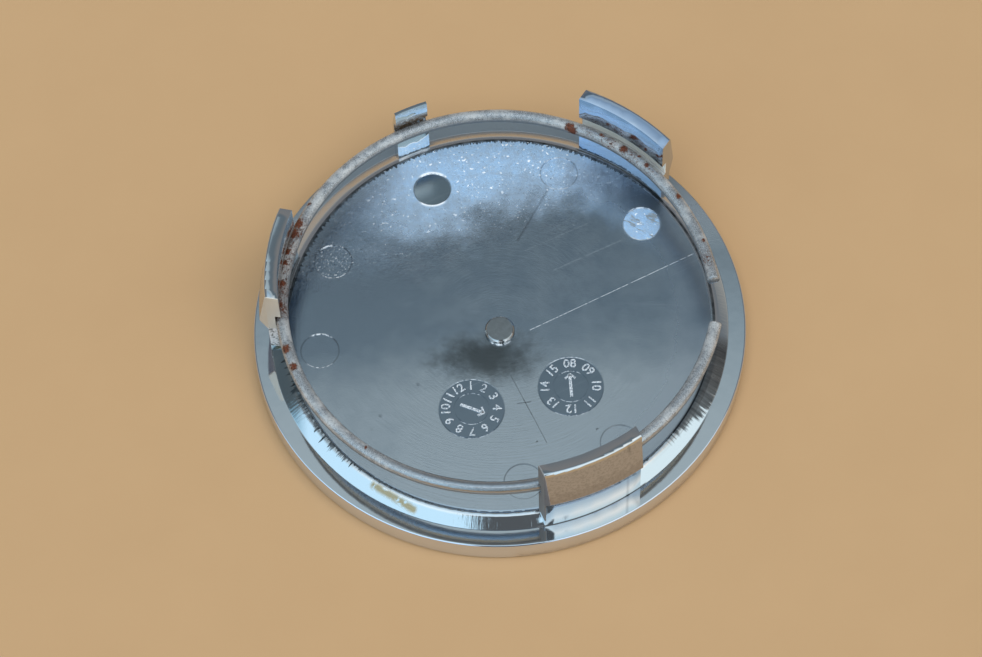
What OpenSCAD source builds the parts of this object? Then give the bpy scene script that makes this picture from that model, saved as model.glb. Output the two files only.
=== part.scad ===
// Wheel centre cap lying on its front face, with its clips pointing up.
// One moulded, plated shell carries three snap clips and an index tab, and a
// loose-ended spring wire ring lies in the groove behind the clips' heads.
// The origin is on the cap's axis, on the plane that the front rim rests on.

/* [Flange] */
// Outside diameter of the flange
flange_d = 70; // [66:0.5:76]
// Height of the flange's land above the front plane
land_z = 3.7; // [3:0.1:4.2]
// Rounding of the flange's front edge
front_edge_r = 0.5; // [0.2:0.05:0.8]
// Rounding of the flange's back edge
back_edge_r = 0.25; // [0.1:0.05:0.4]

/* [Back floor] */
// Height of the raised back floor above the front plane
floor_z = 5.0; // [4.8:0.1:5.6]
// Radius at which the flat floor starts to turn down
floor_r = 30; // [29.4:0.1:30.2]
// Radius of the floor's rounded shoulder
shoulder_r = 2.0; // [1.2:0.1:2.2]
// Angle of the slope from the shoulder down to the land
slope_angle = 35; // [32:1:45]

/* [Front] */
// Radius of the recess in the front face
recess_r = 30; // [26:0.5:31]
// Depth of the recess in the front face
recess_depth = 1.5; // [0.8:0.1:2]
// Width of the sloping wall around the recess
recess_wall = 1.0; // [0.4:0.1:2]

/* [Clips] */
// Number of snap clips
clip_count = 3; // [2:1:4]
// Direction of the first clip, seen from behind
clip_az = 52; // [40:1:60]
// Width of a clip along its chord
clip_w = 14.5; // [10:0.5:16]
// Radius of a clip's inner face
clip_in_r = 30.6; // [28:0.1:32.8]
// Thickness of a clip's wall, from its inner face to the neck
clip_wall = 1.9; // [1.5:0.05:2.5]
// Height of a clip's inner top edge
clip_top_z = 18.6; // [17:0.1:21]
// How much higher the outer top edge stands than the inner one
clip_top_rise = 0.25; // [0:0.05:0.6]
// Width of a clip's top, from its inner to its outer edge
clip_top_w = 1.85; // [1.5:0.05:2.4]
// How far the barbs reach out past the neck
barb_reach = 1.07; // [0.7:0.01:1.5]
// Rounding of a clip's outer top edge
clip_edge_r = 0.35; // [0.2:0.05:0.5]
// Rounding of the barb's nose
barb_nose_r = 0.7; // [0.5:0.05:0.8]
// Height of the barb's nose
barb_z = 12.05; // [11.8:0.05:12.6]
// Height at which the barb's underside meets the neck
barb_foot_z = 10; // [9:0.1:10.4]
// How much each end of the barb narrows for each millimetre outwards
barb_end_taper = 0.2; // [0:0.02:0.8]

/* [Index tab] */
// Direction of the index tab, seen from behind
tab_az = 112; // [95:1:130]
// Width of the index tab
tab_w = 4.9; // [3:0.1:8]
// Thickness of the tab above the floor
tab_wall = 1.4; // [1.2:0.05:2]
// Height of the tab
tab_top_z = 17; // [16.5:0.1:18]
// Thickness of the tab at its top
tab_top_w = 0.4; // [0.3:0.05:0.8]
// Height from which the tab's outer face leans in towards the top
tab_lead_z = 13.3; // [13:0.1:15]

/* [Ring groove] */
// Height of the groove's lower lip
groove_z = 10.9; // [10.5:0.1:11.2]
// Room for the wire between the groove's lips
groove_play = 1.0; // [0.4:0.1:1.4]
// Gap between the wire and the back of the groove, where the ring is pushed home
groove_gap = 0.1; // [0.05:0.05:0.3]

/* [Retaining ring] */
// Diameter of the spring wire
wire_d = 1.8; // [1.4:0.1:2.2]
// How far the wire's middle lies inside the clips' inner faces
ring_inset = 0.6; // [0.5:0.05:0.8]
// How far the ring lies off the cap's axis
ring_shift = 0.4; // [0:0.1:0.4]
// Slack between the wire and the lip that it lies on
wire_slack = 0.02; // [0.02:0.01:0.1]
// Direction of the ring's one end, seen from the ring's centre
ring_from_az = 3.6; // [2:0.1:14]
// Direction of its other end
ring_to_az = 348.4; // [340:0.1:350]

/* [Mould marks] */
// Diameter of the ejector pin marks
pin_d = 5.4; // [3:0.1:6]
// Depth of the ejector pin marks
pin_depth = 0.12; // [0.05:0.01:0.3]
// Radius of the circle of pin marks beside the clips
pin_circle_r = 25.8; // [24:0.1:26]
// Angle between a clip's middle and each of its pin marks
pin_offset_az = 16.5; // [14:0.5:22]
// Radius of the pin mark in front of the index tab
tab_pin_r = 23.9; // [20:0.1:26]
// Diameter of the moulding gate's stub
gate_d = 4.2; // [2:0.1:5]
// Height of the gate's stub above the floor
gate_h = 0.9; // [0.3:0.1:1.2]
// Width of the slant around the stub's top
gate_slant = 0.25; // [0.1:0.05:0.3]
// How far the gate's stub lies from the axis
gate_offset = 1.9; // [0:0.1:3]
// Distance of the two date dials from the axis
dial_circle_r = 14.7; // [12:0.1:17]
// Directions of the two date dials
dial_az = [-107.3, -49];
// Diameter of a date dial
dial_d = 9.3; // [7:0.1:10]
// Diameter of the turning disc in a date dial
dial_disc_d = 4.9; // [3:0.1:6]
// Width of the split line around each dial and disc
dial_line_w = 0.16; // [0.1:0.02:0.3]
// Depth of the split lines
dial_line_depth = 0.1; // [0.05:0.01:0.2]

/* [Hidden] */

// Cutters reach this far past the faces that they open
over = 1;
flange_r = flange_d / 2;
recess_rim_r = recess_r + recess_wall;
neck_r = clip_in_r + clip_wall;
clip_top_r = clip_in_r + clip_top_w;
barb_r = neck_r + barb_reach;
tab_out_r = clip_in_r + tab_wall;
ring_r = clip_in_r - ring_inset;
groove_back_r = ring_r + ring_shift + wire_d / 2 + groove_gap;
groove_top_z = groove_z + wire_d + groove_play;
clip_az_list = [for (i = [0:clip_count - 1]) clip_az + i * 360 / clip_count];
// Depth inside the shell at which the clips and the tab start
root_z = (recess_depth + floor_z) / 2;
// Where the shoulder's round ends and the straight slope begins
shoulder_end = [
    floor_r + shoulder_r * sin(slope_angle),
    floor_z - shoulder_r * (1 - cos(slope_angle))
];
slope_foot_r = shoulder_end[0] + (shoulder_end[1] - land_z) / tan(slope_angle);
// The clips and the tab are rooted in the shell, from here outwards
foot_r = min(clip_in_r, slope_foot_r - over, flange_r - over);
barb_nose = [barb_r - barb_nose_r, barb_z];
clip_edge = [clip_top_r - clip_edge_r, clip_top_z + clip_top_rise - clip_edge_r];
// Half of the sectors that the clips and the tab are cut out of
clip_half_sector = asin(clip_w / 2 / clip_in_r) + 5;
tab_half_sector = asin(tab_w / 2 / clip_in_r) + 5;
// The wire leans on the lip's inner edge at the clip that the ring is pushed towards
wire_z = groove_z + sqrt(pow(wire_d / 2, 2) - pow(clip_in_r - ring_r - ring_shift, 2)) + wire_slack;
plating = [0.62, 0.68, 0.73];
zinc = [0.55, 0.54, 0.52];

function polar(r, az) = [r * cos(az), r * sin(az)];

// Point at which a line from p touches the circle about c, on the given side
function tangent_point(p, c, r, side) =
    let (d = p - c)
    c + polar(r, atan2(d[1], d[0]) + side * acos(r / norm(d)));

// Direction from the centres of two circles to the line that touches both on one side
function outer_tangent(c1, r1, c2, r2) =
    let (d = c2 - c1)
    atan2(d[1], d[0]) + acos((r1 - r2) / norm(d));

// Slice of a disc about c, from angle a0 to a1
module pie(c, r, a0, a1) {
    intersection() {
        translate(c) circle(r = r, $fn = 64);
        polygon([c, c + 2 * polar(r, a0), c + 2 * polar(r, (a0 + a1) / 2), c + 2 * polar(r, a1)]);
    }
}

// Half section of the shell: front rim and recess below, land, slope and floor above
module shell_section() {
    polygon([
        [0, recess_depth],
        [recess_r, recess_depth],
        [recess_rim_r, 0],
        [flange_r - front_edge_r, 0],
        [flange_r, front_edge_r],
        [flange_r, land_z - back_edge_r],
        [flange_r - back_edge_r, land_z],
        [slope_foot_r, land_z],
        shoulder_end,
        [floor_r, floor_z],
        [0, floor_z]
    ]);
    pie([flange_r - front_edge_r, front_edge_r], front_edge_r, -90, 0);
    pie([flange_r - back_edge_r, land_z - back_edge_r], back_edge_r, 0, 90);
    pie([floor_r, floor_z - shoulder_r], shoulder_r, 90 - slope_angle, 90);
}

module shell() {
    rotate_extrude($fn = 180) shell_section();
}

// Section of a snap clip: groove inside, sloping top, lead-in, barb and neck outside
module clip_section() {
    top_in = [clip_in_r, clip_top_z];
    lead_in = outer_tangent(clip_edge, clip_edge_r, barb_nose, barb_nose_r);
    barb_foot = [neck_r, barb_foot_z];
    polygon([
        [clip_in_r, root_z],
        [clip_in_r, groove_z],
        [groove_back_r, groove_z],
        [groove_back_r, groove_top_z],
        [clip_in_r, groove_top_z],
        top_in,
        tangent_point(top_in, clip_edge, clip_edge_r, -1),
        clip_edge + polar(clip_edge_r, lead_in),
        barb_nose + polar(barb_nose_r, lead_in),
        tangent_point(barb_foot, barb_nose, barb_nose_r, 1),
        barb_foot,
        [neck_r, root_z]
    ]);
    foot(neck_r);
    translate(clip_edge) circle(r = clip_edge_r, $fn = 64);
    translate(barb_nose) circle(r = barb_nose_r, $fn = 64);
}

// Section of the foot that joins a clip or the tab to the shell, under the land
module foot(out_r) {
    translate([foot_r, land_z - over]) square([out_r - foot_r, over]);
}

// Outline of a clip seen along the axis: parallel sides, barb ends cut back
module clip_outline() {
    side = clip_w / 2;
    inside = foot_r * cos(clip_half_sector);
    cut_from = sqrt(pow(clip_top_r, 2) - pow(side, 2));
    reach = barb_r + over - cut_from;
    polygon([
        [inside, -side],
        [cut_from, -side],
        [cut_from + reach, -side + barb_end_taper * reach],
        [cut_from + reach, side - barb_end_taper * reach],
        [cut_from, side],
        [inside, side]
    ]);
}

module clip() {
    intersection() {
        rotate([0, 0, -clip_half_sector])
            rotate_extrude(angle = 2 * clip_half_sector, $fn = 180) clip_section();
        linear_extrude(height = clip_top_z + clip_top_rise + over) clip_outline();
    }
}

// Section of the index tab: a wedge above the groove, which crosses it too
module tab_section() {
    polygon([
        [clip_in_r, root_z],
        [clip_in_r, groove_z],
        [groove_back_r, groove_z],
        [groove_back_r, groove_top_z],
        [clip_in_r, groove_top_z],
        [clip_in_r, tab_top_z],
        [clip_in_r + tab_top_w, tab_top_z],
        [tab_out_r, tab_lead_z],
        [tab_out_r, root_z]
    ]);
    foot(tab_out_r);
}

// Short narrow tab that keys the cap in the wheel
module index_tab() {
    intersection() {
        rotate([0, 0, -tab_half_sector])
            rotate_extrude(angle = 2 * tab_half_sector, $fn = 180) tab_section();
        translate([foot_r - over, -tab_w / 2, 0])
            cube([tab_out_r - foot_r + 2 * over, tab_w, tab_top_z + over]);
    }
}

// Shallow round print that an ejector pin leaves in the floor
module pin_mark(r, az) {
    translate([r * cos(az), r * sin(az), floor_z - pin_depth]) cylinder(d = pin_d, h = over, $fn = 48);
}

// Stub of the moulding gate, with a slant around its top
module gate_stub() {
    translate([0, -gate_offset, floor_z - over]) {
        cylinder(d = gate_d, h = gate_h + over - gate_slant, $fn = 48);
        translate([0, 0, gate_h + over - gate_slant])
            cylinder(d1 = gate_d, d2 = gate_d - 2 * gate_slant, h = gate_slant, $fn = 48);
    }
}

// Round split line in the floor
module split_line(d) {
    difference() {
        cylinder(d = d + dial_line_w, h = over, $fn = 64);
        translate([0, 0, -over]) cylinder(d = d - dial_line_w, h = 3 * over, $fn = 64);
    }
}

module dial_lines(az) {
    translate([dial_circle_r * cos(az), dial_circle_r * sin(az), floor_z - dial_line_depth]) {
        split_line(dial_d);
        split_line(dial_disc_d);
    }
}

module cap() {
    color(plating)
    difference() {
        union() {
            shell();
            for (az = clip_az_list) rotate([0, 0, az]) clip();
            rotate([0, 0, tab_az]) index_tab();
            gate_stub();
        }
        for (az = clip_az_list) {
            pin_mark(pin_circle_r, az - pin_offset_az);
            pin_mark(pin_circle_r, az + pin_offset_az);
        }
        pin_mark(tab_pin_r, tab_az);
        for (az = dial_az) dial_lines(az);
    }
}

// Open ring of spring wire with square-cut ends
module retaining_ring() {
    color(zinc)
    translate([-ring_shift, 0, wire_z])
    rotate([0, 0, ring_from_az])
    rotate_extrude(angle = ring_to_az - ring_from_az, $fn = 180)
    translate([ring_r, 0]) circle(d = wire_d, $fn = 48);
}

cap();
retaining_ring();
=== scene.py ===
# %% [markdown]
# # Wheel centre cap, seen from behind
#
# The cap is a moulded plastic disc with bright plating. It lies on its front face,
# so the view is into its back: three snap clips, a small index tab, and a ring of
# spring wire that lies in the groove behind the clips' heads.
# The solids come from the frame. This script gives them their finish, adds what is
# too fine for the solids, and sets the floor, the light and the camera.

# %% Frame
import bpy
import bmesh
import math
from mathutils import Matrix, Vector, noise


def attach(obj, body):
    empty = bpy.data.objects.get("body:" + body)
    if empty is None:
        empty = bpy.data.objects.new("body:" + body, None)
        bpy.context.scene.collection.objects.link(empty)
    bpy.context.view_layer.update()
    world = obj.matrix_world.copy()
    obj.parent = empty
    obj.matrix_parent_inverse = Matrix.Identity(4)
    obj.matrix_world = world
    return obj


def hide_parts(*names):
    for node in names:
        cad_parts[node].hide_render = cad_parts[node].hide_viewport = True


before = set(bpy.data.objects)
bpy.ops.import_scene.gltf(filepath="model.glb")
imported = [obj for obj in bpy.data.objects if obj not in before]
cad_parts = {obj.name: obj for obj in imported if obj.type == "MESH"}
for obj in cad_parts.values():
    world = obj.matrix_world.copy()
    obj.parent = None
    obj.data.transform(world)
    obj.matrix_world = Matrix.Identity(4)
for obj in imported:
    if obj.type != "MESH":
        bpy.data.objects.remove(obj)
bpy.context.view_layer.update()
MM = 0.001

# %% [markdown]
# ## Camera
#
# The cap is seen from about 61 degrees above the floor, a little turned in the
# picture. The camera stands half a metre away, as a hand-held camera with a long
# lens would, so that the far rim looks only a little smaller than the near one.

# %% Camera
IMAGE_W, IMAGE_H = 982, 657
CAMERA_ELEVATION = math.radians(60.67)
CAMERA_ROLL = math.radians(-2.27)
CAMERA_DISTANCE = 498.5 * MM
FOCAL_PX = 3520.4
AIM = Vector((0, 0, 6 * MM))
AIM_PX = (499.7, 316.9)


def look_at_cap():
    forward = Vector((0, math.cos(CAMERA_ELEVATION), -math.sin(CAMERA_ELEVATION)))
    right = Vector((1, 0, 0))
    up = right.cross(forward)
    place = AIM - forward * CAMERA_DISTANCE
    yaw = math.atan2(AIM_PX[0] - IMAGE_W / 2, FOCAL_PX)
    pitch = math.atan2(AIM_PX[1] - IMAGE_H / 2, FOCAL_PX)
    turned = forward * math.cos(yaw) - right * math.sin(yaw)
    right = right * math.cos(yaw) + forward * math.sin(yaw)
    sight = turned * math.cos(pitch) + up * math.sin(pitch)
    up = up * math.cos(pitch) - turned * math.sin(pitch)
    x_axis = right * math.cos(CAMERA_ROLL) + up * math.sin(CAMERA_ROLL)
    y_axis = up * math.cos(CAMERA_ROLL) - right * math.sin(CAMERA_ROLL)
    turn = Matrix((x_axis, y_axis, -sight)).transposed().to_4x4()
    return Matrix.Translation(place) @ turn


camera = bpy.data.objects.new("camera", bpy.data.cameras.new("camera"))
camera.data.sensor_width = 36
camera.data.lens = FOCAL_PX / IMAGE_W * camera.data.sensor_width
camera.data.clip_start = 0.01
camera.data.clip_end = 20
camera.matrix_world = look_at_cap()
bpy.context.scene.collection.objects.link(camera)
bpy.context.scene.camera = camera
print("camera lens in mm:", round(camera.data.lens, 1))

# %% [markdown]
# ## Small helpers for materials and pieces
#
# A material is a chain of nodes. These helpers keep the chains short to write: most
# add one node and give back the socket that carries its answer. The last two set a
# material on a piece, and make a piece out of a mesh that was built in bmesh.

# %% Helpers


def fill(tree, node, inputs):
    """Sets each input to a value, or links it to the socket of another node."""
    for name, value in inputs.items():
        if isinstance(value, bpy.types.NodeSocket):
            tree.links.new(value, node.inputs[name])
        else:
            node.inputs[name].default_value = value


def add_node(tree, kind, inputs=None, **settings):
    node = tree.nodes.new(kind)
    for name, value in settings.items():
        setattr(node, name, value)
    fill(tree, node, inputs or {})
    return node


def calc(tree, operation, *terms, clamp=False):
    node = add_node(tree, "ShaderNodeMath", dict(enumerate(terms)), operation=operation, use_clamp=clamp)
    return node.outputs[0]


def total(tree, *terms):
    result = terms[0]
    for term in terms[1:]:
        result = calc(tree, "ADD", result, term)
    return result


def product(tree, *terms):
    result = terms[0]
    for term in terms[1:]:
        result = calc(tree, "MULTIPLY", result, term)
    return result


def rise(tree, value, start, end):
    """0 before start, 1 after end, smooth between; start may be the larger one."""
    node = add_node(
        tree, "ShaderNodeMapRange",
        {"Value": value, "From Min": start, "From Max": end},
        interpolation_type="SMOOTHSTEP",
    )
    return node.outputs["Result"]


def spread(tree, value, low, high):
    """A value from 0 to 1, stretched from low to high."""
    node = add_node(tree, "ShaderNodeMapRange", {"Value": value, "To Min": low, "To Max": high})
    return node.outputs["Result"]


def minus(tree, first, second):
    return calc(tree, "SUBTRACT", first, second)


def apart(tree, value, centre):
    """How far a value lies from a centre, on either side."""
    return calc(tree, "ABSOLUTE", minus(tree, value, centre))


def inverse(tree, value):
    return calc(tree, "SUBTRACT", 1.0, value, clamp=True)


def blend(tree, factor, first, second):
    """The first colour where the factor is 0, the second where it is 1."""
    first, second = (
        value if isinstance(value, bpy.types.NodeSocket) else (*value, 1) for value in (first, second)
    )
    node = add_node(tree, "ShaderNodeMix", {0: factor, 6: first, 7: second}, data_type="RGBA")
    return node.outputs[2]


def grain(tree, place, scale, detail=2.0, roughness=0.5, distortion=0.0):
    node = add_node(tree, "ShaderNodeTexNoise", {
        "Vector": place, "Scale": scale, "Detail": detail,
        "Roughness": roughness, "Distortion": distortion,
    })
    return node.outputs["Fac"]


def point(tree, x, y, z=0.0):
    return add_node(tree, "ShaderNodeCombineXYZ", {"X": x, "Y": y, "Z": z}).outputs[0]


def start_material(name):
    material = bpy.data.materials.new(name)
    material.use_nodes = True
    tree = material.node_tree
    return material, tree, tree.nodes["Principled BSDF"]


def start_group(name, inputs, outputs):
    group = bpy.data.node_groups.new(name, "ShaderNodeTree")
    for label, kind in inputs:
        group.interface.new_socket(label, in_out="INPUT", socket_type=kind)
    for label, kind in outputs:
        group.interface.new_socket(label, in_out="OUTPUT", socket_type=kind)
    return group, group.nodes.new("NodeGroupInput").outputs, group.nodes.new("NodeGroupOutput").inputs


def place_group(tree, group, inputs):
    return add_node(tree, "ShaderNodeGroup", inputs, node_tree=group).outputs


def relief_normal(tree, height):
    """The normal of a surface with these heights in millimetres."""
    inputs = {"Height": height, "Strength": 1.0, "Distance": MM}
    return add_node(tree, "ShaderNodeBump", inputs).outputs["Normal"]


def finish_piece(piece, material):
    piece.data.materials.clear()
    piece.data.materials.append(material)


def add_piece(name, mesh):
    data = bpy.data.meshes.new(name)
    mesh.to_mesh(data)
    mesh.free()
    piece = bpy.data.objects.new(name, data)
    bpy.context.scene.collection.objects.link(piece)
    print(name, "faces:", len(data.polygons))
    return piece


# %% [markdown]
# ## Where a point lies on the cap
#
# Most of what is seen on the cap follows its turned form: a zone ends at a radius,
# and machining marks run around it or outwards. This group turns a place in metres
# into millimetres, a radius and an angle, and every finish below starts from it.

# %% Place on the cap


def build_cap_place():
    group, given, out = start_group(
        "cap_place",
        [("Vector", "NodeSocketVector")],
        [("Place", "NodeSocketVector"), ("Radius", "NodeSocketFloat"),
         ("Angle", "NodeSocketFloat"), ("Height", "NodeSocketFloat")],
    )
    inputs = {0: given["Vector"], "Scale": 1 / MM}
    scaled = add_node(group, "ShaderNodeVectorMath", inputs, operation="SCALE").outputs[0]
    parts = add_node(group, "ShaderNodeSeparateXYZ", {"Vector": scaled}).outputs
    squares = total(group, product(group, parts["X"], parts["X"]), product(group, parts["Y"], parts["Y"]))
    group.links.new(scaled, out["Place"])
    group.links.new(calc(group, "SQRT", squares), out["Radius"])
    group.links.new(calc(group, "ARCTAN2", parts["Y"], parts["X"]), out["Angle"])
    group.links.new(parts["Z"], out["Height"])
    return group


CAP_PLACE = build_cap_place()
print("nodes in the cap_place group:", len(CAP_PLACE.nodes))


def cap_place(tree):
    where = add_node(tree, "ShaderNodeTexCoord").outputs["Object"]
    return place_group(tree, CAP_PLACE, {"Vector": where})


# %% [markdown]
# ## Marks drawn on the cap
#
# A scratch, a weld line or the edge of a round print is a thin mark at a known
# place. One group measures how near a point is to a straight line between two ends,
# the other how near it is to a circle. Each gives 1 on the mark and 0 away from it.
# A round edge glints at its near and far ends, where it faces the light.

# %% Line and circle marks


def vector_math(tree, operation, a, b):
    return add_node(tree, "ShaderNodeVectorMath", {0: a, 1: b}, operation=operation).outputs


def build_line_mark():
    group, given, out = start_group(
        "line_mark",
        [("Place", "NodeSocketVector"), ("Start", "NodeSocketVector"), ("End", "NodeSocketVector"),
         ("Width", "NodeSocketFloat")],
        [("Mask", "NodeSocketFloat")],
    )
    flat = vector_math(group, "MULTIPLY", given["Place"], (1, 1, 0))[0]
    whole = vector_math(group, "SUBTRACT", given["End"], given["Start"])[0]
    reached = vector_math(group, "SUBTRACT", flat, given["Start"])[0]
    share = calc(
        group, "DIVIDE",
        vector_math(group, "DOT_PRODUCT", reached, whole)["Value"],
        vector_math(group, "DOT_PRODUCT", whole, whole)["Value"],
        clamp=True,
    )
    inputs = {0: whole, "Scale": share}
    nearest = add_node(group, "ShaderNodeVectorMath", inputs, operation="SCALE").outputs[0]
    gap = vector_math(group, "DISTANCE", reached, nearest)["Value"]
    group.links.new(rise(group, gap, given["Width"], 0.0), out["Mask"])
    return group


def build_circle_mark():
    group, given, out = start_group(
        "circle_mark",
        [("Place", "NodeSocketVector"), ("Centre", "NodeSocketVector"), ("Radius", "NodeSocketFloat"),
         ("Width", "NodeSocketFloat")],
        [("Ring", "NodeSocketFloat"), ("Disc", "NodeSocketFloat"), ("Glint", "NodeSocketFloat")],
    )
    flat = vector_math(group, "MULTIPLY", given["Place"], (1, 1, 0))[0]
    offset = vector_math(group, "SUBTRACT", flat, given["Centre"])[0]
    gap = vector_math(group, "DISTANCE", flat, given["Centre"])["Value"]
    past = minus(group, gap, given["Radius"])
    ring = rise(group, calc(group, "ABSOLUTE", past), given["Width"], 0.0)
    across = add_node(group, "ShaderNodeSeparateXYZ", {"Vector": offset}).outputs["Y"]
    lean = calc(group, "DIVIDE", calc(group, "ABSOLUTE", across), given["Radius"])
    group.links.new(ring, out["Ring"])
    within = calc(group, "MULTIPLY", given["Width"], -1.0)
    group.links.new(rise(group, past, given["Width"], within), out["Disc"])
    group.links.new(product(group, ring, rise(group, lean, 0.66, 0.92)), out["Glint"])
    return group


LINE_MARK = build_line_mark()
CIRCLE_MARK = build_circle_mark()
print("nodes in the two mark groups:", len(LINE_MARK.nodes), len(CIRCLE_MARK.nodes))


def line_mark(tree, place, start, end, width):
    return place_group(tree, LINE_MARK, {
        "Place": place, "Start": (*start, 0), "End": (*end, 0), "Width": width,
    })["Mask"]


def circle_mark(tree, place, centre, radius, width):
    return place_group(tree, CIRCLE_MARK, {
        "Place": place, "Centre": (*centre, 0), "Radius": radius, "Width": width,
    })


def polar(radius, degrees):
    turn = math.radians(degrees)
    return (radius * math.cos(turn), radius * math.sin(turn))


# %% [markdown]
# ## Plating: which finish lies where
#
# Bright plating mirrors what stands around it. The mould was polished where the cap
# meets the wheel, so the land and the clips are clear mirrors. It was left as cut
# under the back floor, which is satin. Each zone is a mask from 0 to 1, worked out
# from radius and height, so that one material covers the one moulded piece.

# %% Sizes of the cap in mm
FLOOR_Z = 5.0
FLOOR_EDGE_R = 30.0
LAND_R = 32.5
FLANGE_R = 35.0
CLIP_IN_R = 30.6
CLIP_HALF_W = 7.25
CLIP_DIRECTIONS = [52, 172, 292]
FAR_CLIP, LEFT_CLIP, NEAR_CLIP = CLIP_DIRECTIONS
BARB_FOOT_Z = 10.2
GROOVE_LOW_Z, GROOVE_HIGH_Z = 10.9, 13.7
DRAFT = 0.2

# %% Zones of the solid


def solid_zones(tree, cap):
    radius, height = cap["Radius"], cap["Height"]
    parts = add_node(tree, "ShaderNodeSeparateXYZ", {"Vector": cap["Place"]}).outputs
    zone = {"x": parts["X"], "y": parts["Y"]}
    low = rise(tree, height, FLOOR_Z + 0.35, FLOOR_Z + 0.2)
    inside = rise(tree, radius, FLOOR_EDGE_R + 0.2, FLOOR_EDGE_R - 0.1)
    on_land = rise(tree, radius, LAND_R - 0.15, LAND_R + 0.1)
    zone["floor"] = product(tree, low, inside)
    zone["slope"] = product(tree, low, inverse(tree, inside), inverse(tree, on_land))
    zone["dull_land"] = product(tree, low, on_land, rise(tree, zone["y"], 10.0, 24.0))
    zone["flange_side"] = product(
        tree, rise(tree, radius, FLANGE_R - 0.2, FLANGE_R - 0.02), rise(tree, height, 0.1, 0.3),
    )
    zone["high"] = product(tree, inverse(tree, low), rise(tree, radius, CLIP_IN_R - 0.3, CLIP_IN_R - 0.1))
    return zone


def clip_end(tree, cap, zone, direction, side):
    """1 on one end face of the clip in this direction, which leans in by its draft."""
    turn = math.radians(direction)
    past_neck = minus(tree, cap["Radius"], LAND_R - 0.1)
    lean = product(tree, calc(tree, "MAXIMUM", past_neck, 0.0), DRAFT)
    along_x = product(tree, zone["x"], -math.sin(turn) * side)
    along_y = product(tree, zone["y"], math.cos(turn) * side)
    sideways = total(tree, along_x, along_y, lean)
    reached = rise(tree, sideways, CLIP_HALF_W - 0.2, CLIP_HALF_W - 0.1)
    same_clip = rise(tree, sideways, CLIP_HALF_W + 2.0, CLIP_HALF_W + 1.0)
    return product(tree, zone["high"], reached, same_clip)


def clip_zones(tree, cap, zone):
    x, y, radius, height = zone["x"], zone["y"], cap["Radius"], cap["Height"]
    zone["far_clip"] = product(tree, zone["high"], rise(tree, x, 4.0, 8.0), rise(tree, y, 4.0, 8.0))
    zone["inner_face"] = product(tree, zone["high"], rise(tree, radius, CLIP_IN_R + 0.3, CLIP_IN_R + 0.1))
    zone["outer_face"] = product(
        tree, rise(tree, height, BARB_FOOT_Z, BARB_FOOT_Z + 0.5),
        rise(tree, radius, LAND_R - 0.05, LAND_R + 0.03),
    )
    zone["groove"] = product(
        tree, rise(tree, radius, CLIP_IN_R - 0.02, CLIP_IN_R + 0.2),
        rise(tree, height, GROOVE_LOW_Z - 0.1, GROOVE_LOW_Z + 0.1),
        rise(tree, height, GROOVE_HIGH_Z + 0.1, GROOVE_HIGH_Z - 0.1),
        rise(tree, radius, CLIP_IN_R + 1.0, CLIP_IN_R + 0.85),
    )
    zone["worn_end"] = clip_end(tree, cap, zone, LEFT_CLIP, 1)
    zone["dark_end"] = clip_end(tree, cap, zone, NEAR_CLIP, -1)


# %% [markdown]
# ## Plating: the back floor
#
# Seven ejector pins pushed the cap out of its mould, and each has printed a circle in
# the floor. Two round inserts have printed the date dials, and the plastic came in at
# the stub near the middle. Towards the far rim the plating is pitted and milky, and it
# scatters the whole sky, apart from one pin's print that stayed clear.

# %% Prints in the floor
PIN_R = 2.7
PIN_CIRCLE_R = 25.8
CLEAR_PIN = polar(23.9, 112)
MILKY_PIN = polar(PIN_CIRCLE_R, 35.5)
SCUFFED_PIN = polar(PIN_CIRCLE_R, 155.5)
# Centre of each pin's print, and how strongly its edge glints
PINS = [
    (CLEAR_PIN, 1.0), (MILKY_PIN, 0.7), (polar(PIN_CIRCLE_R, 68.5), 0.6), (SCUFFED_PIN, 0.9),
    (polar(PIN_CIRCLE_R, 188.5), 1.0), (polar(PIN_CIRCLE_R, 275.5), 0.1), (polar(PIN_CIRCLE_R, 308.5), 0.1),
]
DIAL_CIRCLE_R = 14.7
DIALS = [polar(DIAL_CIRCLE_R, -107.3), polar(DIAL_CIRCLE_R, -49)]
DIAL_R = 4.65
DIAL_DISC_R = 2.45
GATE = (0, -1.9)
GATE_R = 2.1
print("pin prints:", len(PINS), "date dials:", len(DIALS))

# %% Zones of the floor


def floor_zones(tree, cap, zone):
    place, x, y = cap["Place"], zone["x"], zone["y"]
    clear = circle_mark(tree, place, CLEAR_PIN, PIN_R, 0.15)["Disc"]
    halo = circle_mark(tree, place, CLEAR_PIN, PIN_R + 1.0, 0.6)["Disc"]
    zone["milky_pin"] = circle_mark(tree, place, MILKY_PIN, PIN_R, 0.2)["Disc"]
    beyond = minus(tree, y, calc(tree, "MULTIPLY", x, 0.3))
    off_side = apart(tree, x, 1.0)
    ragged = grain(tree, place, 0.17, 5, 0.62)
    milky = product(
        tree, rise(tree, total(tree, beyond, spread(tree, ragged, -8.0, 8.0)), 13.0, 25.0),
        rise(tree, off_side, 27.0, 7.0),
    )
    milky = calc(tree, "MAXIMUM", milky, product(tree, halo, spread(tree, ragged, 0.5, 1.0)))
    milky = calc(tree, "MAXIMUM", product(tree, milky, inverse(tree, clear)), zone["milky_pin"])
    pitted = rise(tree, total(tree, beyond, spread(tree, ragged, 9.0, -9.0)), 9.0, 17.0)
    dials = total(tree, *(circle_mark(tree, place, centre, DIAL_R, 0.12)["Disc"] for centre in DIALS))
    zone["milky"] = product(tree, milky, zone["floor"])
    zone["pitted"] = product(tree, pitted, zone["floor"], inverse(tree, clear))
    zone["dials"] = product(tree, dials, zone["floor"])
    zone["clear_pin"] = product(tree, clear, zone["floor"])
    zone["satin"] = product(tree, zone["floor"], inverse(tree, clear), inverse(tree, zone["dials"]))


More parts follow.
